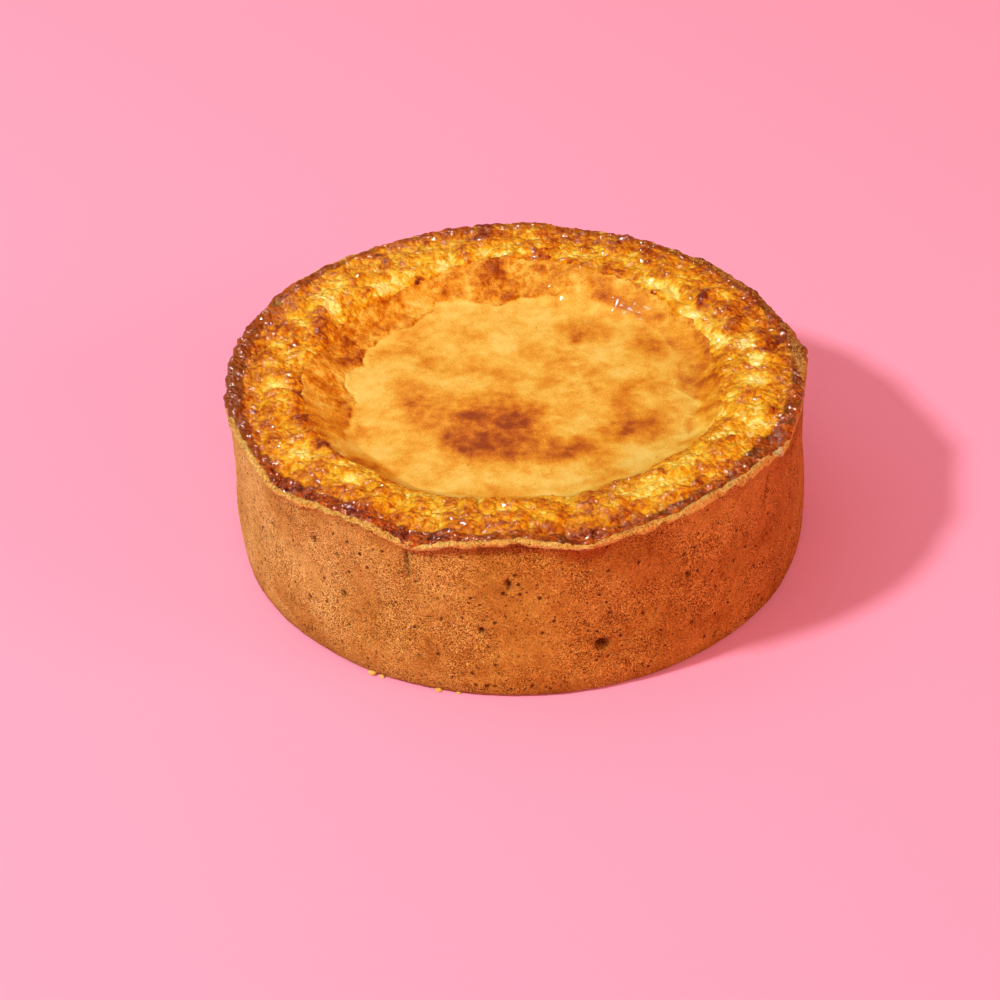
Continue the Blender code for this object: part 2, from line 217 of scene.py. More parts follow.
# How far out the middle's smooth skin reaches up the ring's inner slope: azimuth, radius in mm.
SKIN_KNOTS = (
    (-160, 76), (-145, 75), (-131, 72.5), (-112, 71), (-96, 69.5), (-68, 68.5), (-52, 69.5), (-23, 72.5),
    (-6, 70.5), (20, 71), (40, 72), (60, 73), (75, 75), (90, 76), (107, 75.5), (123, 73), (138, 73),
    (150, 73.5), (166, 74.5), (177, 76),
)

# Where the middle's pale skin ends in a torn edge, inside the browned slope: azimuth, radius in mm.
TORN_KNOTS = (
    (-180, 58.5), (-170, 59.5), (-165, 62), (-160, 65.5), (-155, 67), (-150, 70.5), (-135, 70),
    (-112, 70), (-50, 68), (-46, 66), (-28, 64), (-19, 61.5), (-10, 65), (0, 57.5), (10, 57.5), (20, 61),
    (37, 63), (63, 62), (76, 61.5), (85, 59.5), (95, 58), (103, 61), (110, 65), (116, 66.5), (120, 61.5),
    (130, 59.5), (136, 62.5), (148, 61.5), (160, 60), (165, 63.5), (171, 63),
)

# Browned patches on the middle: how far right and back each is, its width in mm, and how dark it is.
BROWN_PATCHES = (
    (-4, -16, 8, 1), (-14, -12, 9, 0.8), (-15, -26, 11, 0.95), (-4, -24, 9, 0.75), (-5, -34, 8, 0.9),
    (4, -11, 7, 0.7), (5, -26, 7, 0.6), (-19, -28, 8, 0.7), (-9, -4, 7, 0.55), (-35, -3, 10, 0.45),
    (-33, -13, 9, 0.5), (-55, -20, 6, 0.45), (20, -35, 7, 0.75), (10, -35, 6, 0.65), (15, -38, 5, 0.45),
    (38, -21, 10, 0.8), (34, -25, 6, 0.45), (40, 1, 7, 0.42), (37, -5, 5, 0.3), (26, 3, 6, 0.32),
    (22, -12, 6, 0.28), (14, 8, 7, 0.4), (17, 19, 6, 0.38), (21, 33, 6, 0.55), (18, 42, 5, 0.35),
    (-39, 32, 5, 0.55), (-38, 39, 5, 0.5), (7, 25, 5, 0.26), (-6, 8, 7, 0.22), (48, 27, 6, 0.38),
    (42, 25, 4, 0.25), (0, 50, 6, 0.2), (-50, 29, 7, 0.28), (52, -48, 6, 0.45), (-50, -46, 7, 0.5),
    (-56, -42, 6, 0.55), (-21, 25, 17, 0.2), (-8, -56, 7, 0.26), (-22, -40, 8, 0.18), (27, -45, 8, 0.16),
    (30, 44, 8, 0.18),
)

# Moist spots on the slope at the back right, in the same form, with how wet each is.
MOIST_SPOTS = (
    (25, 43, 6, 0.32), (38, 48, 7, 0.32), (46, 44, 6, 0.32), (43, 40, 4, 0.32), (64, 18, 5, 0.32),
)

# The crumbs that lie at the foot: azimuth, size.
CRUMBS = ((-121.4, 1.5 * MM), (-119.3, 0.9 * MM), (-107.6, 1.2 * MM), (-103.8, 0.8 * MM))

# The photograph's camera: lens and sensor in mm, pitch in degrees, roll in radians, its distance from the
# point on the floor that it looks at, and its shift as a share of the sensor.
LENS = 89.8
SENSOR = 36.0
CAMERA_PITCH = 37.445
CAMERA_ROLL = -0.0352
CAMERA_DISTANCE = 914.3 * MM
LOOK_AT = Vector((-7.6 * MM, 0.35 * MM, 0.0))
CAMERA_SHIFT = 0.013

# The lamps: the direction each shines from, its distance and size in metres, its power in watts, its color,
# whether it lights the cake, and whether it shows in the moist spots.
LAMPS = {
    "key": ((-0.651, -0.276, 0.707), 2.6, 0.29, 55.0, (0.88, 0.99, 0.95), True, True),
    "top_fill": ((-0.30, 0.18, 0.93), 2.6, 2.2, 9.6, (1.0, 0.97, 0.94), True, False),
    "glint": ((-0.30, 0.18, 0.93), 1.5, 0.10, 5.0, (1.0, 0.97, 0.94), False, True),
    "back_glint": ((-0.15, 0.62, 0.77), 1.8, 0.20, 9.0, (1.0, 0.97, 0.94), False, True),
    "front_fill": ((0.1, -0.75, 0.65), 7.0, 5.4, 101.5, (1.0, 0.72, 0.54), True, False),
    "right_fill": ((0.9, -0.35, 0.25), 7.0, 4.4, 344.0, (1.0, 0.54, 0.42), True, False),
}

# The soft light from all round, how strong it is, and how strong where it is mirrored; and the floor.
ROOM_COLOR = (1.0, 0.57, 0.50)
ROOM_STRENGTH = 0.40
ROOM_MIRRORED = 0.06
FLOOR_COLOR = (0.96, 0.36, 0.53)
FLOOR_REACH = 6.0

# The pastry's colors: its bake from the right to the left, with painted light that makes it paler to the
# left and darker to the right, the shades of its sandy grain, which are multiplied over that, the gold of
# its torn edge, and the browns and the pale flake that go on top, among which are painted shade under the
# lip, in the cleft under the torn edge and in the pits and dents.
SIDE_LIT_BAKE = ((0.05, (0.60, 0.168, 0.026)), (0.42, (0.73, 0.320, 0.042)), (0.90, (0.84, 0.425, 0.098)))
SANDY_SHADES = (
    (0.00, (0.38, 0.23, 0.12)),
    (0.25, (0.76, 0.62, 0.44)),
    (0.50, (0.98, 0.96, 0.92)),
    (0.75, (1.14, 1.30, 1.50)),
    (1.00, (1.36, 1.80, 2.60)),
)
EDGE_GOLD = (
    (0.00, (0.58, 0.18, 0.020)),
    (0.25, (0.92, 0.41, 0.065)),
    (0.60, (0.99, 0.57, 0.120)),
    (1.00, (1.00, 0.72, 0.220)),
)
FOOT_BROWN = (0.44, 0.135, 0.018)
UNDER_LIP_SHADE_BROWN = (0.46, 0.075, 0.008)
FLAKE_CREAM = (0.96, 0.62, 0.27)
CLEFT_SHADE_BROWN = (0.30, 0.045, 0.006)
KNOB_BROWN = (0.26, 0.052, 0.004)
HOLE_SHADE_BROWN = (0.13, 0.018, 0.002)

# The cheese's colors, from the palest to the most browned: the ring's curds, the caramel by the pastry, the
# leathery stretch of it at the left, and the middle's skin, with painted shade in its pinholes.
CURD_BROWNS = (
    (0.00, (0.90, 0.70, 0.180)),
    (0.12, (0.85, 0.53, 0.042)),
    (0.32, (0.76, 0.36, 0.006)),
    (0.52, (0.66, 0.225, 0.001)),
    (0.72, (0.48, 0.112, 0.001)),
    (0.87, (0.33, 0.055, 0.001)),
    (1.00, (0.18, 0.020, 0.001)),
)
CARAMEL = ((0.20, (0.070, 0.005, 0.0005)), (0.50, (0.29, 0.034, 0.001)), (0.80, (0.58, 0.125, 0.003)))
LEATHERY_BROWN = (0.25, 0.058, 0.003)
SKIN_BROWNS = (
    (0.00, (0.79, 0.54, 0.115)),
    (0.18, (0.76, 0.44, 0.058)),
    (0.36, (0.71, 0.325, 0.022)),
    (0.56, (0.61, 0.205, 0.005)),
    (0.76, (0.46, 0.108, 0.002)),
    (1.00, (0.27, 0.042, 0.001)),
)
PINHOLE_SHADE_BROWN = (0.42, 0.11, 0.006)


# ---- Shape functions, the same as those of the solids ----


def x_and_y(azimuth, radius):
    angle = np.radians(azimuth)
    return radius * np.cos(angle), radius * np.sin(angle)


def around(azimuth, knots, column):
    """A knot column's value all round the cake, eased from each knot to the next."""
    knots = sorted(knots)
    turns = [knot[0] for knot in knots] + [knots[0][0] + 360]
    values = [knot[column] for knot in knots] + [knots[0][column]]
    wrapped = (azimuth - turns[0]) % 360 + turns[0]
    index = np.clip(np.searchsorted(turns, wrapped, side="right") - 1, 0, len(knots) - 1)
    turns = np.array(turns, float)
    values = np.array(values, float)
    share = (wrapped - turns[index]) / (turns[index + 1] - turns[index])
    eased = share * share * (3 - 2 * share)
    return values[index] + (values[index + 1] - values[index]) * eased


def noise_at(x, y, z, spacing, seed):
    """Smooth noise between about -1 and 1, whose hills are about spacing apart."""
    points = np.stack(np.broadcast_arrays(x, y, z), axis=-1) / spacing + seed
    flat = [noise.noise(point) for point in points.reshape(-1, 3).tolist()]
    return np.array(flat).reshape(points.shape[:-1])


def crag(x, y, spacing, seed):
    """Rounded hills with sharp creases between them, from 0 to 1, with a mean near 0.4."""
    return np.minimum(2.4 * np.abs(noise_at(x, y, 0.0, spacing, seed)), 1.0)


def closeness(azimuth, centre, half_width):
    """1 at the centre azimuth, easing to 0 half_width degrees away from it."""
    away = np.abs((azimuth - centre + 180) % 360 - 180) / half_width
    return np.where(away < 1, 0.5 + 0.5 * np.cos(np.pi * np.minimum(away, 1)), 0.0)


def rim_height(azimuth):
    x, y = x_and_y(azimuth, WALL_RADIUS)
    ragged = noise_at(x, y, 0.0, RIM_RAGGED_SPACING, RIM_SEED)
    return around(azimuth, RIM_KNOTS, 1) * MM + RIM_RAGGEDNESS * ragged


def wall_radius(azimuth, height):
    """The shell's outer face, from just over its rounded foot up to the rim."""
    bulge = FOOT_BULGE * np.exp(-(((height - FOOT_BULGE_HEIGHT) / FOOT_BULGE_REACH) ** 2))
    lean = TOP_LEAN * np.cos(np.radians(azimuth - TOP_LEAN_AZIMUTH)) * height / MEAN_HEIGHT
    x, y = x_and_y(azimuth, WALL_RADIUS)
    uneven = WALL_UNEVENNESS * noise_at(x, y, height, WALL_UNEVEN_SPACING, WALL_SEED)
    recess_line = rim_height(azimuth) - RECESS_BELOW_RIM
    recess = RECESS_DEPTH * closeness(azimuth, RECESS_AZIMUTH, RECESS_HALF_WIDTH)
    recess = recess * np.exp(-(((height - recess_line) / RECESS_REACH) ** 2))
    return WALL_RADIUS + bulge + lean + uneven - recess


def inner_radius(azimuth, height):
    """The shell's inner face, which leans out to the thinner rim over its last few millimetres."""
    below_rim = np.clip((rim_height(azimuth) - height) / RIM_TAPER, 0, 1)
    thickness = RIM_THICKNESS + (SHELL_THICKNESS - RIM_THICKNESS) * below_rim
    poke = around(azimuth, RIM_KNOTS, 2) * MM * (1 - below_rim)
    return wall_radius(azimuth, height) + poke - thickness


def ring_row(azimuth, radius, height):
    """A row of points round the cake."""
    return np.stack(np.broadcast_arrays(*x_and_y(azimuth, radius), height), axis=-1)


def shell_rows(azimuth):
    """The shell's rows of points: out under the foot, up the wall, over the rim and down inside."""
    foot = wall_radius(azimuth, FOOT_ROUNDING)
    rim = rim_height(azimuth)
    poke = around(azimuth, RIM_KNOTS, 2) * MM
    rows = [
        ring_row(azimuth, foot + FOOT_RADIUS - WALL_RADIUS - FOOT_BULGE / 2, 0.0),
        ring_row(azimuth, foot - FOOT_CHAMFER, 0.3 * FOOT_ROUNDING),
        ring_row(azimuth, foot, FOOT_ROUNDING),
    ]
    for height in (*WALL_HEIGHTS, rim - RECESS_BELOW_RIM):
        rows.append(ring_row(azimuth, wall_radius(azimuth, height), height))
    lip_foot = rim - LIP_DEPTH
    rows.append(ring_row(azimuth, wall_radius(azimuth, lip_foot) + LIP_FOOT_POKE * poke, lip_foot))
    lip = wall_radius(azimuth, rim) + poke + LIP_FLARE
    rows.append(ring_row(azimuth, lip, rim - LIP_WIDEST * LIP_DEPTH))
    rows.append(ring_row(azimuth, lip - LIP_ROUNDING, rim))
    rows.append(ring_row(azimuth, lip - RIM_THICKNESS, rim - RIM_INNER_DROP))
    top = rim - FILLING_BELOW_RIM
    corner = FLOOR_THICKNESS + FLOOR_CORNER
    for height in (top, top - RIM_TAPER, 0.5 * MEAN_HEIGHT, corner):
        rows.append(ring_row(azimuth, inner_radius(azimuth, height), height))
    rows.append(ring_row(azimuth, inner_radius(azimuth, corner) - FLOOR_CORNER, FLOOR_THICKNESS))
    return rows


def middle_foot(azimuth):
    """Radius at which the sunken middle meets the ring's inner slope."""
    radius = around(azimuth, MIDDLE_KNOTS, 1) * MM
    x, y = x_and_y(azimuth, radius)
    return radius + TORN_EDGE * noise_at(x, y, 0.0, TORN_EDGE_SPACING, TORN_EDGE_SEED)


def edge_radius(azimuth):
    """Radius of the filling's top edge, just inside the pastry."""
    return inner_radius(azimuth, rim_height(azimuth) - FILLING_BELOW_RIM) - FILLING_GAP


def solids_offset():
    """How far the solids were moved, so that the pastry's box is centred on the Z axis."""
    points = np.concatenate(shell_rows(segments(SOLID_SEGMENTS)))
    middle = (points.min(axis=0) + points.max(axis=0)) / 2
    return np.array([-middle[0], -middle[1], 0.0])


# ---- Helpers for shapes; spacings, widths and places are in mm ----


def segments(count):
    return np.arange(count) * 360.0 / count - 180.0


def ease(value, low, high):
    """0 at low, 1 at high, eased between them; low may be the larger."""
    share = np.clip((value - low) / (high - low), 0, 1)
    return share * share * (3 - 2 * share)


def hump(value, centre, width):
    """1 at the centre, falling away softly to both sides of it."""
    return np.exp(-(((value - centre) / width) ** 2))


def on_sides(azimuth, sides):
    """Soft stretches round the cake, added up: each is its azimuth, its half width and its strength."""
    return sum(strength * closeness(azimuth, centre, half_width) for centre, half_width, strength in sides)


def smooth_noise(points, spacing, seed):
    return noise_at(points[..., 0], points[..., 1], points[..., 2], spacing * MM, seed)


def noise_layers(points, *layers):
    """Noise of several sizes, added up: each layer is its strength, its spacing and its seed."""
    return sum(strength * smooth_noise(points, spacing, seed) for strength, spacing, seed in layers)


def domes(points, spacing, seed):
    """Rounded grains packed side by side, 1 at each grain's top and 0 in the creases."""
    scaled = (points / (spacing * MM) + seed).reshape(-1, 3).tolist()
    nearest = np.array([noise.voronoi(point)[0][0] for point in scaled])
    return np.maximum(1 - (nearest / 0.8) ** 2, 0).reshape(points.shape[:-1])


def spots(x, y, places):
    """Soft round spots that run into each other, from 0 to 1: each place is x, y, width and strength."""
    bare = np.ones(np.shape(x))
    for at_x, at_y, width, strength in places:
        away = (x - at_x * MM) ** 2 + (y - at_y * MM) ** 2
        bare = bare * (1 - strength * np.exp(-2.5 * away / (width * MM) ** 2))
    return 1 - bare


def refine(rows, steps):
    """Rows of points with smooth in-between rows added: steps gives how many stretches each gap becomes."""
    points = np.array(rows)
    finer = []
    for i, count in enumerate(steps):
        before, start = points[max(i - 1, 0)], points[i]
        end, after = points[i + 1], points[min(i + 2, len(points) - 1)]
        for t in np.arange(count) / count:
            leave, arrive = 0.5 * (end - before), 0.5 * (after - start)
            near = (2 * t**3 - 3 * t**2 + 1) * start + (t**3 - 2 * t**2 + t) * leave
            finer.append(near + (3 * t**2 - 2 * t**3) * end + (t**3 - t**2) * arrive)
    finer.append(points[-1])
    return np.array(finer)


def grid_normals(points):
    """Unit normals of a grid whose rows run from the underside, up the outside, and in over the top."""
    along = np.roll(points, -1, axis=1) - np.roll(points, 1, axis=1)
    across = np.gradient(points, axis=0)
    normals = np.cross(along, across)
    return normals / np.maximum(np.linalg.norm(normals, axis=2, keepdims=True), 1e-12)


def grid_mesh(name, points, pole_heights, offset, masks):
    """A closed triangle mesh through the rows of points, with a fan at each end to a pole on the axis."""
    rows, count = points.shape[:2]
    poles = [(0, 0, height) for height in pole_heights]
    vertices = np.concatenate([points.reshape(-1, 3), poles]) + offset
    low = np.arange((rows - 1) * count).reshape(rows - 1, count)
    low_after = np.roll(low, -1, axis=1)
    first, last = np.arange(count), np.arange(count) + (rows - 1) * count
    faces = [
        np.stack([low, low_after, low_after + count], axis=-1).reshape(-1, 3),
        np.stack([low, low_after + count, low + count], axis=-1).reshape(-1, 3),
        np.stack([np.full(count, rows * count), np.roll(first, -1), first], axis=-1),
        np.stack([np.full(count, rows * count + 1), last, np.roll(last, -1)], axis=-1),
    ]
    mesh = bpy.data.meshes.new(name)
    mesh.from_pydata(vertices.tolist(), [], np.concatenate(faces).tolist())
    for key, values in masks.items():
        flat = np.concatenate([values.reshape(-1), values[0, :1], values[-1, :1]])
        mesh.attributes.new(key, "FLOAT", "POINT").data.foreach_set("value", flat)
    mesh.shade_smooth()
    return mesh


def add_object(name, data):
    made = bpy.data.objects.new(name, data)
    bpy.context.scene.collection.objects.link(made)
    return made


def add_piece(name, mesh, material, node=None):
    """Adds a piece of the cake, which rides on its one body and may stand for a node."""
    piece = add_object(name, mesh)
    mesh.materials.append(material)
    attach(piece, "root")
    if node:
        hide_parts(node)


# ---- Shader helpers ----


def fill(tree, made, inputs):
    """Links or sets a node's inputs."""
    for key, value in inputs.items():
        if isinstance(value, bpy.types.NodeSocket):
            tree.links.new(value, made.inputs[key])
        else:
            made.inputs[key].default_value = value


def node(tree, kind, inputs=None, **settings):
    made = tree.nodes.new("ShaderNode" + kind)
    for key, value in settings.items():
        setattr(made, key, value)
    fill(tree, made, inputs or {})
    return made


def maths(tree, operation, first, second=0.0, clamp=False):
    return node(tree, "Math", {0: first, 1: second}, operation=operation, use_clamp=clamp).outputs[0]


def times(tree, first, second):
    return maths(tree, "MULTIPLY", first, second)


def total(tree, *parts):
    result = parts[0]
    for part in parts[1:]:
        result = maths(tree, "ADD", result, part)
    return result


def varied(tree, value, *layers):
    """The value with 0 to 1 layers added as pushes around 0: each is the layer and its weight."""
    pushes = [times(tree, maths(tree, "SUBTRACT", layer, 0.5), weight) for layer, weight in layers]
    return total(tree, value, *pushes)


def eased_range(tree, value, low, high, to_low=0.0, to_high=1.0):
    inputs = {"Value": value, "From Min": low, "From Max": high, "To Min": to_low, "To Max": to_high}
    return node(tree, "MapRange", inputs, interpolation_type="SMOOTHSTEP").outputs["Result"]


def mix_colors(tree, share, under, over, blend="MIX"):
    inputs = {0: share, 6: under, 7: over}
    return node(tree, "Mix", inputs, data_type="RGBA", blend_type=blend).outputs[2]


def tint(tree, color, share, paint):
    """The color with a plain paint over a share of it."""
    return mix_colors(tree, share, color, (*paint, 1.0))


def color_ramp(tree, factor, stops):
    made = node(tree, "ValToRGB", {"Fac": factor})
    ramp = made.color_ramp
    while len(ramp.elements) < len(stops):
        ramp.elements.new(0.5)
    for element, (position, color) in zip(ramp.elements, stops):
        element.position = position
        element.color = (*color, 1.0)
    return made.outputs["Color"]


def noise_texture(tree, where, per_metre, detail=3.0, roughness=0.55):
    inputs = {"Vector": where, "Scale": per_metre, "Detail": detail, "Roughness": roughness}
    return node(tree, "TexNoise", inputs).outputs["Fac"]


def mask(tree, name):
    return node(tree, "Attribute", attribute_name=name).outputs["Fac"]


def bumps(tree, *layers):
    """Bump upon bump: each layer is its height, how deep that is in metres, and its strength."""
    inputs = {}
    for height, deep, strength in layers:
        inputs.update({"Height": height, "Distance": deep, "Strength": strength})
        inputs["Normal"] = node(tree, "Bump", inputs).outputs["Normal"]
    return inputs["Normal"]


def new_group(name, values, outputs):
    """A shader node group that takes a place and named values, with its input and output nodes."""
    group = bpy.data.node_groups.new(name, "ShaderNodeTree")
    group.interface.new_socket("Place", in_out="INPUT", socket_type="NodeSocketVector")
    for label, value in values.items():
        socket = group.interface.new_socket(label, in_out="INPUT", socket_type="NodeSocketFloat")
        socket.default_value = value
    for label in outputs:
        group.interface.new_socket(label, in_out="OUTPUT", socket_type="NodeSocketFloat")
    return group, group.nodes.new("NodeGroupInput").outputs, group.nodes.new("NodeGroupOutput")


def use_group(tree, group, place, values):
    return node(tree, "Group", {"Place": place, **values}, node_tree=group).outputs


def new_material(name):
    """A material with its node tree and its shader."""
    material = bpy.data.materials.new(name)
    material.use_nodes = True
    tree = material.node_tree
    return material, tree, tree.nodes["Principled BSDF"]


# ---- Effects that the materials share ----


def pore_group():
    """Small round holes of uneven size, set in some of the cells of a loose grid."""
    values = {"Per metre": 300.0, "Size": 0.3, "Share": 0.5}
    tree, start, end = new_group("baked_pores", values, ("Hole", "Height"))
    wobble = node(tree, "TexNoise", {"Vector": start["Place"], "Scale": 900.0, "Detail": 1.0})
    inputs = {0: wobble.outputs["Color"], 1: (0.9 * MM, 0.9 * MM, 0.9 * MM), 2: start["Place"]}
    shifted = node(tree, "VectorMath", inputs, operation="MULTIPLY_ADD").outputs[0]
    cells = node(tree, "TexVoronoi", {"Vector": shifted, "Scale": start["Per metre"]}).outputs
    draw = node(tree, "SeparateColor", {"Color": cells["Color"]}).outputs
    present = maths(tree, "LESS_THAN", draw["Red"], start["Share"])
    size = times(tree, maths(tree, "ADD", times(tree, draw["Green"], 0.8), 0.8), start["Size"])
    hole = times(tree, eased_range(tree, cells["Distance"], size, times(tree, size, 0.45)), present)
    fill(tree, end, {"Hole": hole, "Height": maths(tree, "SUBTRACT", 1.0, hole)})
    return tree


def grain_group():
    """Rounded grains packed side by side: their domed height, and a tone of each grain's own."""
    tree, start, end = new_group("packed_grains", {"Per metre": 900.0}, ("Height", "Tone"))
    place, per_metre = start["Place"], start["Per metre"]
    wobble = node(tree, "TexNoise", {"Vector": place, "Scale": per_metre, "Detail": 1.0}).outputs["Color"]
    inputs = {0: wobble, "Scale": maths(tree, "DIVIDE", 0.7, per_metre)}
    away = node(tree, "VectorMath", inputs, operation="SCALE").outputs[0]
    shifted = node(tree, "VectorMath", {0: place, 1: away}, operation="ADD").outputs[0]
    inputs = {"Vector": shifted, "Scale": per_metre, "Smoothness": 0.3}
    cells = node(tree, "TexVoronoi", inputs, feature="SMOOTH_F1").outputs
    squared = maths(tree, "POWER", times(tree, cells["Distance"], 1.15), 2.0)
    own = node(tree, "SeparateColor", {"Color": cells["Color"]}).outputs["Red"]
    fill(tree, end, {"Height": maths(tree, "SUBTRACT", 1.0, squared, clamp=True), "Tone": own})
    return tree


def mottle_group():
    """Uneven baking, as a tone around 0.5: wide clouds with smaller ones in them."""
    values = {"Wide per metre": 40.0, "Small per metre": 170.0}
    tree, start, end = new_group("uneven_baking", values, ("Tone",))
    wide = noise_texture(tree, start["Place"], start["Wide per metre"], 2.0)
    small = noise_texture(tree, start["Place"], start["Small per metre"], 4.0, 0.6)
    fill(tree, end, {"Tone": total(tree, times(tree, wide, 0.55), times(tree, small, 0.45))})
    return tree


# ---- Materials ----


def pastry_material(pores, mottle):
    """Matt baked shortcrust: brown, sandy, pitted and golden on its torn edge; paler to the left as painted
    light, with painted shade under the rim, in the cleft and in the pits.
    """
    material, tree, shader = new_material("baked_pastry")
    place = node(tree, "TexCoord").outputs["Object"]
    clouds = use_group(tree, mottle, place, {"Wide per metre": 48.0, "Small per metre": 230.0})["Tone"]
    pits = use_group(tree, pores, place, {"Per metre": 270.0, "Size": 0.16, "Share": 0.62})
    clusters = eased_range(tree, noise_texture(tree, place, 75.0, 1.0), 0.42, 0.62, 0.15, 0.90)
    pinholes = use_group(tree, pores, place, {"Per metre": 560.0, "Size": 0.20, "Share": clusters})
    sand = noise_texture(tree, place, 1150.0, 2.0, 0.65)
    dust = noise_texture(tree, place, 2300.0, 1.0, 0.5)
    patchy = eased_range(tree, noise_texture(tree, place, 52.0, 2.0), 0.36, 0.64, 0.35, 1.15)
    # The wall, with painted light that makes it paler to the left and darker to the right, its foot, and
    # painted shade in its fold under the rim, with sandy grain over them.
    color = color_ramp(tree, mask(tree, "painted_side_light"), SIDE_LIT_BAKE)
    color = tint(tree, color, times(tree, mask(tree, "foot"), 0.6), FOOT_BROWN)
    # Painted shadow under the lip, over the fold and the pinch.
    color = tint(tree, color, times(tree, mask(tree, "under_lip_shade"), 0.8), UNDER_LIP_SHADE_BROWN)
    sandy = times(tree, varied(tree, 0.0, (sand, 1.5), (dust, 2.3)), patchy)
    tone = total(tree, varied(tree, 0.5, (clouds, 1.7)), sandy)
    color = mix_colors(tree, 1.0, color, color_ramp(tree, tone, SANDY_SHADES), "MULTIPLY")
    # The torn edge: golden where it is fresh, with painted shade in the cleft under it, and dark on its
    # knobs.
    edge = varied(tree, mask(tree, "below_rim"), (sand, 2.6), (clouds, 2.0))
    golden = times(tree, eased_range(tree, edge, 0.3, -0.3), mask(tree, "golden_edge"))
    crumbly = varied(tree, 0.5, (sand, 2.6), (clouds, 1.8))
    color = mix_colors(tree, golden, color, color_ramp(tree, crumbly, EDGE_GOLD))
    color = tint(tree, color, mask(tree, "pale_flake"), FLAKE_CREAM)
    cleft_shade = eased_range(tree, maths(tree, "ABSOLUTE", edge), 0.55, 0.1, 0.0, 0.45)
    color = tint(tree, color, times(tree, cleft_shade, mask(tree, "golden_edge")), CLEFT_SHADE_BROWN)
    dark_knobs = times(tree, eased_range(tree, crumbly, 0.85, 0.35), mask(tree, "brown_edge"))
    color = tint(tree, color, dark_knobs, KNOB_BROWN)
    # Pits and dents, with painted shade in them.
    hole = maths(tree, "MAXIMUM", pits["Hole"], times(tree, pinholes["Hole"], 0.7))
    hole = times(tree, hole, maths(tree, "SUBTRACT", 1.0, golden))
    hole = maths(tree, "MAXIMUM", hole, mask(tree, "pit_and_dent_shade"))
    color = tint(tree, color, times(tree, hole, 0.85), HOLE_SHADE_BROWN)
    normal = bumps(
        tree,
        (sand, 1.2 * MM, 0.8),
        (dust, 0.8 * MM, 0.8),
        (pits["Height"], 1.0 * MM, 1.0),
        (pinholes["Height"], 0.6 * MM, 0.9),
    )
    values = {"Base Color": color, "Roughness": 0.85, "Specular IOR Level": 0.12, "Normal": normal}
    fill(tree, shader, values)
    return material


def cheese_shader(tree, shader, color, wet, wet_roughness, normal):
    """Baked cheese: dull, with a thin wet coat in places, and a little light that passes under its skin."""
    values = {
        "Base Color": color,
        "Roughness": 0.5,
        "Specular IOR Level": 0.10,
        "Coat Weight": wet,
        "Coat Roughness": wet_roughness,
        "Coat IOR": 1.42,
        "Subsurface Weight": 0.12,
        "Subsurface Radius": (1.0, 0.4, 0.08),
        "Subsurface Scale": 1.2 * MM,
        "Normal": normal,
    }
    fill(tree, shader, values)


def ring_material(grains, mottle):
    """Baked curds: pale yellow where torn, golden, brown on top, dark caramel by the pastry, and moist."""
    material, tree, shader = new_material("browned_cheese")
    place = node(tree, "TexCoord").outputs["Object"]
    curd = use_group(tree, grains, place, {"Per metre": 520.0})
    clouds = use_group(tree, mottle, place, {"Wide per metre": 150.0, "Small per metre": 420.0})["Tone"]
    crumb = noise_texture(tree, place, 620.0, 2.0, 0.6)
    grain = noise_texture(tree, place, 1250.0, 1.0, 0.5)
    layers = (clouds, 1.15), (crumb, 0.75), (grain, 0.55), (curd["Tone"], 0.26)
    color = color_ramp(tree, varied(tree, mask(tree, "browning"), *layers), CURD_BROWNS)
    into_band = varied(tree, mask(tree, "into_dark_band"), (crumb, 1.2), (clouds, 1.6))
    band = eased_range(tree, into_band, -0.8, 0.8)
    caramel = color_ramp(tree, varied(tree, 0.5, (clouds, 2.4), (grain, 1.0)), CARAMEL)
    color = mix_colors(tree, times(tree, band, mask(tree, "darkness")), color, caramel)
    leather = times(tree, times(tree, band, mask(tree, "leathery")), 0.85)
    color = tint(tree, color, leather, LEATHERY_BROWN)
    wet = total(tree, noise_texture(tree, place, 420.0, 2.0, 0.5), times(tree, band, 0.10))
    domed = times(tree, curd["Height"], total(tree, 0.6, times(tree, band, 0.6)))
    normal = bumps(tree, (domed, 1.3 * MM, 0.8), (crumb, 0.8 * MM, 0.8), (grain, 0.12 * MM, 0.8))
    cheese_shader(tree, shader, color, eased_range(tree, wet, 0.47, 0.56), 0.12, normal)
    return material


def middle_material(pores, grains, mottle):
    """Baked skin: golden and finely sandy, with soft brown patches, and crumbly on the slope round it."""
    material, tree, shader = new_material("golden_skin")
    place = node(tree, "TexCoord").outputs["Object"]
    curd = use_group(tree, grains, place, {"Per metre": 560.0})["Tone"]
    clouds = use_group(tree, mottle, place, {"Wide per metre": 70.0, "Small per metre": 300.0})["Tone"]
    pinholes = use_group(tree, pores, place, {"Per metre": 150.0, "Size": 0.055, "Share": 0.45})
    crumb = noise_texture(tree, place, 620.0, 2.0, 0.6)
    grit = noise_texture(tree, place, 1500.0, 2.0, 0.6)
    crumbly = mask(tree, "crumbly")
    coarse = times(tree, varied(tree, 0.0, (curd, 0.16), (crumb, 0.8), (clouds, 0.8)), crumbly)
    fine = varied(tree, mask(tree, "browning"), (clouds, 1.25), (grit, 0.55))
    color = color_ramp(tree, total(tree, fine, coarse), SKIN_BROWNS)
    # Painted shade in the pinholes.
    color = tint(tree, color, times(tree, pinholes["Hole"], 0.6), PINHOLE_SHADE_BROWN)
    wet = total(tree, noise_texture(tree, place, 420.0, 2.0, 0.5), mask(tree, "moist"))
    normal = bumps(
        tree,
        (times(tree, crumb, crumbly), 1.0 * MM, 0.8),
        (grit, 0.25 * MM, 0.6),
        (pinholes["Height"], 0.4 * MM, 0.7),
    )
    cheese_shader(tree, shader, color, eased_range(tree, wet, 0.65, 0.71, 0.0, 0.9), 0.08, normal)
    return material


# ---- The pastry ----


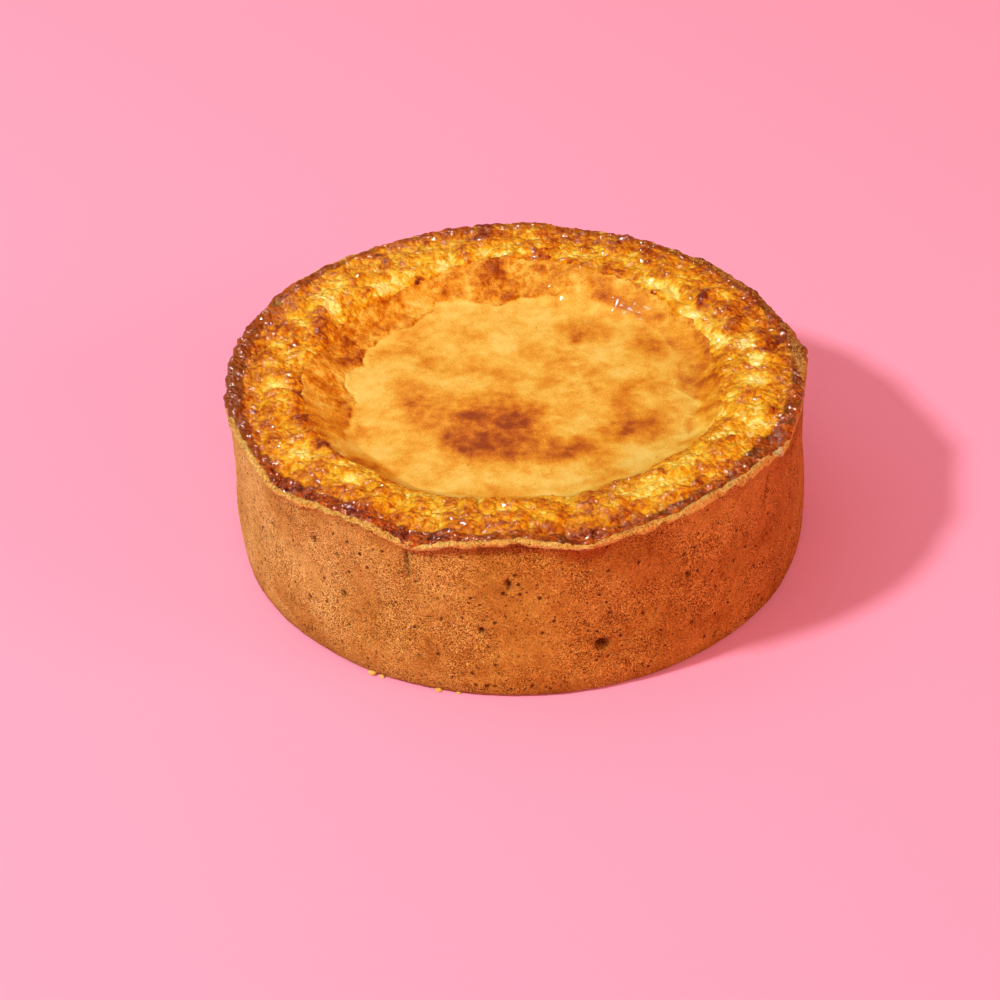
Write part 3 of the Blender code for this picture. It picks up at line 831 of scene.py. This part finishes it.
def dents_on(azimuth, height, dents):
    """How deep each point of the wall lies in a dent, and how much painted shade darkens it there, with
    heights in mm.
    """
    depth, dark = np.zeros(height.shape), np.zeros(height.shape)
    waver = 0.9 * noise_at(height / 5, azimuth / 6, 0.0, 1.0, 3.3)
    waver += 0.5 * noise_at(height / 2, azimuth, 0.0, 1.0, 6.3)
    for centre, level, width, length, deep, tilt in dents:
        sideways = np.radians((azimuth - centre + 180) % 360 - 180) * WALL_RADIUS / MM + waver
        upwards = height - level
        lean = math.radians(tilt)
        across = (sideways * math.cos(lean) + upwards * math.sin(lean)) / (0.5 * width)
        along = (upwards * math.cos(lean) - sideways * math.sin(lean)) / (0.5 * length)
        out = np.hypot(across, along)
        depth = np.maximum(depth, deep * ease(out, 1.25, 0.4))
        dark = np.maximum(dark, ease(out, 1.05, 0.5) * min(1, 3.6 * width / length))
    return depth, dark


def small_pits(draw, count):
    """Small pits scattered over the wall, in the form of the named dents."""
    pits = []
    for _ in range(count):
        width = 0.7 + 1.0 * draw.random() ** 3
        length = width * draw.uniform(0.8, 2.0)
        deep = width * draw.uniform(0.25, 0.5)
        azimuth, height, tilt = draw.uniform(-180, 180), draw.uniform(4, 54), draw.uniform(-90, 90)
        pits.append((azimuth, height, width, length, deep, tilt))
    return pits


def pastry_crust(offset, material):
    """The whole shell, with its relief and all its measures here in mm."""
    azimuth = segments(CRUST_SEGMENTS)
    points = refine(shell_rows(azimuth), CRUST_STEPS)
    normals = grid_normals(points)
    height = points[..., 2] / MM
    outside = np.arange(len(points))[:, None] <= sum(CRUST_STEPS[:CRUST_OUTSIDE_GAPS])
    below = np.where(outside, rim_height(azimuth) / MM - height, 0)
    gold, knobbly, hang = (around(azimuth, RIM_COLOR_KNOTS, column) for column in (1, 2, 3))
    # Crumbly grain all over.
    relief = noise_layers(points, (0.20, 7, 4.4), (0.10, 2.6, 9.4), (0.09, 1.2, 2.4))
    # A thin ragged flake of pastry hangs out along the rim, with knobs on it at the back and the left.
    band = np.maximum(2.5 + noise_layers(points, (2.0, 6, 3.1), (1.0, 1.9, 8.3)), 0.8)
    flake = ease(below - band, 0.15, -0.15) * np.clip(below / band, 0.1, 1)
    lip = ease(below, 3.0, 0.8)
    ragged = noise_layers(points, (0.45, 3.4, 7.7), (0.35, 1.5, 1.9))
    knobs = domes(points, 3.3, 5.5) * ease(smooth_noise(points, 7, 8.6), -0.35, 0.35)
    relief += lip * (ragged - 0.6 + hang + 0.9 * knobbly * knobs) + 0.9 * flake * gold
    # One pale flake stands out at the right.
    torn_azimuth = azimuth + 1.2 * smooth_noise(points, 2, 4.1)
    pale_flake = closeness(torn_azimuth, PALE_FLAKE_AZIMUTH, 2.2) * ease(below, 3.6, 0.8)
    relief += 0.7 * pale_flake
    # The wall is folded in under the rim, most of all over the recess and at the pinch, and the same
    # measure darkens it there as a painted shadow under the lip.
    fold = closeness(azimuth, RECESS_AZIMUTH, 34) * hump(below, 5.0, 2.8)
    pinch = closeness(azimuth, PINCH_AZIMUTH, 8) * hump(below, 5.5, 4.5)
    fold_and_shade = np.minimum(0.6 * fold + pinch + 0.2 * ease(below, 7, 4) * gold, 1)
    relief -= 0.4 * fold_and_shade * (1 - lip)
    # Pits and dents, which the lip has none of; how dark each is goes on as painted shade.
    pits, pit_shade = dents_on(azimuth, height, small_pits(np.random.default_rng(PITS_SEED), SMALL_PITS))
    dents, dent_shade = dents_on(azimuth, height, WALL_DENTS)
    relief -= np.where(outside & (below > 2), np.maximum(pits, dents), 0)
    points = points + normals * (MM * relief * ease(height, 0.0, 1.5))[..., None]
    points[..., 2] = np.maximum(points[..., 2], 0)
    # Painted light: the pastry is made paler round the left, toward the key lamp, and darker round the
    # right, which lies in shade.
    left = np.cos(np.radians(azimuth - 168))
    masks = {
        "below_rim": below - band,
        "golden_edge": gold * np.ones(points.shape[:2]),
        "brown_edge": knobbly * ease(below, 3.2, 1.6) * (0.35 + 0.65 * ease(knobs, 0.05, 0.4)),
        "pale_flake": ease(pale_flake, 0.15, 0.6),
        "under_lip_shade": fold_and_shade,
        "painted_side_light": 0.5 + 0.5 * left + 0.12 * smooth_noise(points, 30, 1.2),
        "foot": ease(height, 8, 0.5),
        "pit_and_dent_shade": np.where(outside, np.maximum(pit_shade * 0.85, dent_shade), 0),
    }
    mesh = grid_mesh("pastry_crust", points, (0.0, FLOOR_THICKNESS), offset, masks)
    add_piece("pastry_crust", mesh, material, "pastry_shell")


# ---- The cheese ----


def out_over_ring(azimuth, radius):
    """How far out over the ring a radius is: 0 at the middle's foot and 1 at the filling's edge."""
    foot = middle_foot(azimuth)
    return (radius - foot) / (edge_radius(azimuth) - foot)


def top_height(azimuth, radius):
    """Height of the cake's top without its crags."""
    profile = refine(RING_PROFILE, (8,) * (len(RING_PROFILE) - 1))
    share = out_over_ring(azimuth, radius)
    over = np.clip(share, 0, 1)
    height = np.interp(over, profile[:, 0], profile[:, 1]) * MM
    height += over * (rim_height(azimuth) - MEAN_HEIGHT)
    x, y = x_and_y(azimuth, radius)
    centre = CENTRE_HEIGHT + CENTRE_SWELL * noise_at(x, y, 0.0, CENTRE_SWELL_SPACING, SWELL_SEED)
    return centre + (height - centre) * ease(share, -0.35, 0.05)


def skin_edge(azimuth):
    """Radius at which the smooth skin gives way to the grainy ring, along a torn line."""
    radius = around(azimuth, SKIN_KNOTS, 1) * MM
    line = ring_row(azimuth, radius, 0.0)
    return radius + MM * noise_layers(line, (1.6, 9, 4.2), (0.9, 3.4, 6.2))


def ring_grid(azimuth, edge, rim, inner_end):
    """The ring's rows: up its hidden side, over the edge that laps over the rim, and in over the top."""
    bare, rise = (around(azimuth, EDGE_KNOTS, column) * MM for column in (1, 2))
    reach = wall_radius(azimuth, rim) + around(azimuth, RIM_KNOTS, 2) * MM + LIP_FLARE - bare
    crest = rim + rise + 0.1 * MM
    rows = [
        ring_row(azimuth, edge - 2.0 * MM, 20 * MM),
        ring_row(azimuth, edge - 0.4 * MM, rim - 6 * MM),
        ring_row(azimuth, np.maximum(reach - 1.4 * MM, edge), crest - 1.8 * MM),
        ring_row(azimuth, reach, crest - 0.8 * MM),
        ring_row(azimuth, reach - 0.7 * MM, crest),
    ]
    start = reach - 1.9 * MM
    for share in np.linspace(0, 1, RING_ROWS):
        radius = start + (inner_end - start) * share
        height = top_height(azimuth, radius)
        height = height + (crest - height) * ease(radius, edge - 7 * MM, edge + 0.5 * MM)
        rows.append(ring_row(azimuth, radius, height))
    return refine(rows, RING_EDGE_STEPS + (1,) * (RING_ROWS - 1))


def ring_spots(points):
    """Where the ring is pale or torn, where brown lumps lie on it, and how high they stand, from 0 to 1."""
    # The spots' outlines are torn, so the places are shifted by noise before they are looked up.
    x = points[..., 0] + MM * noise_layers(points, (1.3, 4, 6.4), (0.7, 1.8, 2.4))
    y = points[..., 1] + MM * noise_layers(points, (1.3, 4, 9.4), (0.7, 1.8, 4.7))
    yellow = [(*x_and_y(at, out), 1.7 * width, 0.6) for at, out, width in YELLOW_SPOTS]
    torn = [(*x_and_y(at, out), 1.6 * width, 1.0) for at, out, width in TORN_SPOTS]
    lumps = [(*x_and_y(at, out), 1.2 * width, 1.0) for at, out, width, _ in BROWN_LUMPS]
    raised = [(*x_and_y(at, out), 1.2 * width, high / 1.5) for at, out, width, high in BROWN_LUMPS]
    return spots(x, y, yellow + torn), spots(x, y, lumps), spots(x, y, raised)


def cheese_ring(offset, material):
    """The craggy ring, from its lap over the pastry to under the middle's skin, with its relief in mm."""
    azimuth = segments(RING_SEGMENTS)
    edge, rim, skin = edge_radius(azimuth), rim_height(azimuth), skin_edge(azimuth)
    points = ring_grid(azimuth, edge, rim, skin - 3 * MM)
    normals = grid_normals(points)
    x, y, height = np.moveaxis(points, 2, 0)
    radius = np.hypot(x, y)
    from_crust, past_skin = (edge - radius) / MM, (radius - skin) / MM
    shown = np.where(from_crust > 2, 1.0, ease(height, rim - 3.5 * MM, rim - 1.5 * MM))
    # Crags, curds, lumps and torn spots, with knobs near the pastry except at the back.
    shares, _, crag_shares = zip(*RING_PROFILE)
    crags = np.interp(out_over_ring(azimuth, radius), shares, crag_shares)
    wide = crag(x, y, CRAG_SPACING, CRAG_SEED) - MEAN_CRAG
    fine = crag(x, y, FINE_CRAG_SPACING, FINE_CRAG_SEED) - MEAN_CRAG
    curds = domes(points, 2.6, 2.7)
    small = noise_layers(points, (1.0, 2.0, 6.1), (0.5, 1.1, 3.6))
    pale, lumps, raised = ring_spots(points)
    leathery = closeness(azimuth, 182, 36) * ease(from_crust, 6, 2)
    by_crust = ease(from_crust, 8, 3) * (1 - closeness(azimuth, 108, 90))
    grainy = 0.35 + 0.65 * ease(past_skin, 0, 4)
    relief = crags * (CRAG_HEIGHT * wide + FINE_CRAG_HEIGHT * fine) / MM
    relief += grainy * (0.50 * (curds - 0.45) + 0.42 * small)
    relief += 0.8 * by_crust * (domes(points, 3.6, 7.3) - 0.5)
    relief += 1.5 * raised - 0.5 * pale + 0.9 * leathery * smooth_noise(points, 4.5, 5.1)
    # The skin laps up against the ring's inner edge, so there the ring dips under it.
    inside = past_skin - 0.6 * smooth_noise(points, 1.8, 7.2)
    relief += 0.25 - 2.0 * ease(inside, 0.5, -0.9)
    points = points + normals * (MM * relief * shown)[..., None]
    # Brown on what stands up and where the clusters and lumps are, pale in the hollows.
    clusters = noise_layers(points, (1.0, 13, 9.9), (0.7, 5.5, 3.7))
    browning = 0.505 + 0.14 * wide + 0.12 * fine + 0.10 * (curds - 0.4) + 0.12 * small + 0.18 * clusters
    browning += 0.36 * ease(lumps, 0.15, 0.75) - 0.62 * pale
    browning += 0.10 * ease(from_crust, 9, 2) + on_sides(azimuth, RING_SIDES)
    dark_width = around(azimuth, EDGE_KNOTS, 3) + 1.6 * smooth_noise(points, 6, 6.6)
    masks = {
        "browning": browning,
        "into_dark_band": dark_width - from_crust - 1.6,
        "darkness": around(azimuth, EDGE_KNOTS, 4) * np.ones(points.shape[:2]),
        "leathery": leathery,
    }
    # A last row runs down inside, under the skin.
    inner_row = ring_row(azimuth, skin - 3.4 * MM, 46 * MM)
    points = np.concatenate([points, inner_row[None]])
    masks = {key: np.pad(values, ((0, 1), (0, 0)), "edge") for key, values in masks.items()}
    mesh = grid_mesh("cheese_ring", points, (18 * MM, 45 * MM), offset, masks)
    add_piece("cheese_ring", mesh, material, "cheese_filling")


def brown_patches(flat):
    """The middle's patches drift into each other like smoke, so their places are shifted by noise."""
    x = flat[..., 0] + MM * noise_layers(flat, (2.2, 8, 9.1), (1.2, 3.2, 2.1))
    y = flat[..., 1] + MM * noise_layers(flat, (2.2, 8, 7.7), (1.2, 3.2, 4.4))
    places = [(at_x, at_y, 1.5 * width, dark) for at_x, at_y, width, dark in BROWN_PATCHES]
    return spots(x, y, places) * (0.86 + noise_layers(flat, (0.35, 5, 1.1), (0.25, 2.2, 5.1)))


def cheese_middle(offset, material):
    """The sunken middle: its pale skin, its torn edge and the slope round it, with its relief in mm."""
    azimuth = segments(MIDDLE_SEGMENTS)
    skin = skin_edge(azimuth)
    reach = skin + 2.6 * MM
    radius = reach * np.linspace(1, 1 / MIDDLE_ROWS, MIDDLE_ROWS)[:, None]
    share, past_skin = out_over_ring(azimuth, radius), (radius - skin) / MM
    flat = ring_row(azimuth, radius, 0.0)
    # The slope is torn and crumbly from the left round to the back, and smooth elsewhere.
    torn_side = np.maximum(closeness(azimuth, 150, 80), closeness(azimuth, 95, 62))
    wobble = noise_layers(flat, (2.2, 8, 2.3), (1.4, 4, 6.3), (0.8, 1.8, 3.8))
    up_slope = radius / MM - around(azimuth, TORN_KNOTS, 1) + wobble * (0.35 + 0.65 * torn_side)
    on_slope = ease(up_slope, -0.3, 0.5)
    rough = on_slope * (0.12 + 0.88 * torn_side)
    lumps, knobs = domes(flat, 6.5, 8.8), domes(flat, 3.0, 1.5)
    crumbs = 1.3 * (lumps - 0.45) + 0.55 * (knobs - 0.45) + 0.15 * smooth_noise(flat, 1.6, 2.6)
    relief = noise_layers(flat, (0.25, 13, 3.4), (0.10, 4, 8.4), (0.05, 1.5, 5.4)) + rough * crumbs
    # The pale skin is cracked along its torn edge, and curls up beside the crack; the crack is darkened
    # with painted shade and the curl made paler with a painted highlight.
    cracked_sides = np.maximum(0.8 * torn_side, 0.5 * closeness(azimuth, -5, 40))
    cracked = cracked_sides * ease(smooth_noise(flat, 8, 4.6), -0.45, 0.25)
    crack, curl = hump(up_slope, 0, 0.7) * cracked, hump(up_slope, -1.7, 1.1) * cracked
    relief += 0.30 * curl - 0.9 * crack
    # Soft folds run along the front, where the skin has wrinkled as the middle sank.
    wrinkles = noise_at(radius / (5 * MM), np.radians(azimuth) * 2.6, 0.0, 1.0, 12.6)
    wrinkles *= ease(share, -0.5, 0.0) * closeness(azimuth, -90, 95)
    relief += 0.45 * wrinkles - 2.4 * ease(past_skin, 0.6, 2.4)
    moist = spots(flat[..., 0], flat[..., 1], MOIST_SPOTS) * ease(smooth_noise(flat, 3.0, 5.8), -0.3, 0.2)
    relief += 1.6 * moist * smooth_noise(flat, 2.4, 4.9)
    points = flat.copy()
    points[..., 2] = top_height(azimuth, radius) + MM * relief
    wisps = noise_layers(flat, (1.0, 11, 4.1), (0.7, 4.5, 7.1))
    browning = 0.17 + 0.88 * brown_patches(flat) + 0.19 * wisps + 0.22 * wrinkles
    # Painted shade in the crack, and a painted highlight on the curl beside it.
    browning += 0.35 * crack - 0.14 * curl
    browning += on_slope * (on_sides(azimuth, SLOPE_SIDES) + 0.12 * wisps)
    browning += 0.10 * ease(share, -0.55, -0.1) * closeness(azimuth, 20, 90)
    browning += rough * (0.34 * (lumps - 0.4) + 0.20 * (knobs - 0.4))
    crumbly = np.maximum(rough, 0.8 * ease(past_skin, -6, -0.5))
    masks = {"browning": browning, "crumbly": crumbly, "moist": moist}
    centre_height = float(points[-1, :, 2].mean())
    # The first row is the underside's edge.
    points = np.concatenate([ring_row(azimuth, reach, 44 * MM)[None], points])
    masks = {key: np.pad(values, ((1, 0), (0, 0)), "edge") for key, values in masks.items()}
    mesh = grid_mesh("cheese_middle", points, (44 * MM, centre_height), offset, masks)
    add_piece("cheese_middle", mesh, material, "cheese_filling")


def fallen_crumbs(offset, material):
    """A few crumbs of the filling that lie against the cake's foot at the front."""
    draw = np.random.default_rng(CRUMBS_SEED)
    vertices, faces = [], []
    for azimuth, size in CRUMBS:
        x, y = x_and_y(azimuth, FOOT_RADIUS + draw.uniform(0.8, 2.0) * MM)
        crumb = bmesh.new()
        bmesh.ops.create_icosphere(crumb, subdivisions=3, radius=size)
        for vertex in crumb.verts:
            vertex.co *= 1 + 0.45 * noise.noise(vertex.co / (1.1 * size) + Vector((azimuth, 0, 0)))
            vertex.co.z = max(vertex.co.z * 0.55, -0.4 * size)
        first = len(vertices)
        vertices += [tuple(vertex.co + Vector((x, y, 0.4 * size))) for vertex in crumb.verts]
        faces += [[first + vertex.index for vertex in face.verts] for face in crumb.faces]
        crumb.free()
    mesh = bpy.data.meshes.new("fallen_crumbs")
    mesh.from_pydata((np.array(vertices) + offset).tolist(), [], faces)
    mesh.shade_smooth()
    add_piece("fallen_crumbs", mesh, material)


# ---- Stage, light and camera ----


def add_floor():
    corners = [(x * FLOOR_REACH, y * FLOOR_REACH, 0) for x, y in ((-1, -1), (1, -1), (1, 1), (-1, 1))]
    mesh = bpy.data.meshes.new("studio_floor")
    mesh.from_pydata(corners, [], [(0, 1, 2, 3)])
    floor = add_object("studio_floor", mesh)
    material, tree, shader = new_material("studio_floor")
    fill(tree, shader, {"Base Color": (*FLOOR_COLOR, 1), "Roughness": 0.9, "Specular IOR Level": 0.1})
    mesh.materials.append(material)


def add_lamp(name, toward, distance, size, power, color, lights, mirrored):
    """A round lamp that faces the cake: it lights the cake, shows in its moist spots, or both."""
    lamp = bpy.data.lights.new(name, "AREA")
    lamp.shape = "DISK"
    lamp.size = size
    lamp.energy = power
    lamp.color = color
    item = add_object(name, lamp)
    direction = Vector(toward).normalized()
    item.location = direction * distance
    item.rotation_euler = direction.to_track_quat("Z", "Y").to_euler()
    item.visible_diffuse = lights
    item.visible_glossy = mirrored


def add_room_light():
    world = bpy.data.worlds.new("studio")
    world.use_nodes = True
    tree = world.node_tree
    mirrored = node(tree, "LightPath").outputs["Is Glossy Ray"]
    strength = maths(tree, "SUBTRACT", ROOM_STRENGTH, times(tree, mirrored, ROOM_STRENGTH - ROOM_MIRRORED))
    fill(tree, tree.nodes["Background"], {"Color": (*ROOM_COLOR, 1), "Strength": strength})
    bpy.context.scene.world = world


def add_camera():
    lens = bpy.data.cameras.new("camera")
    lens.lens = LENS
    lens.sensor_width = SENSOR
    lens.shift_y = CAMERA_SHIFT
    camera = add_object("camera", lens)
    turn = Matrix.Rotation(math.radians(90 - CAMERA_PITCH), 4, "X") @ Matrix.Rotation(CAMERA_ROLL, 4, "Z")
    camera.matrix_world = Matrix.Translation(LOOK_AT) @ turn @ Matrix.Translation((0, 0, CAMERA_DISTANCE))
    bpy.context.scene.camera = camera


def main():
    pores, grains, mottle = pore_group(), grain_group(), mottle_group()
    offset = solids_offset()
    pastry_crust(offset, pastry_material(pores, mottle))
    cheese_ring(offset, ring_material(grains, mottle))
    golden_skin = middle_material(pores, grains, mottle)
    cheese_middle(offset, golden_skin)
    fallen_crumbs(offset, golden_skin)
    add_floor()
    for name, lamp in LAMPS.items():
        add_lamp(name, *lamp)
    add_room_light()
    add_camera()
    bpy.context.scene.view_settings.view_transform = "Standard"


main()
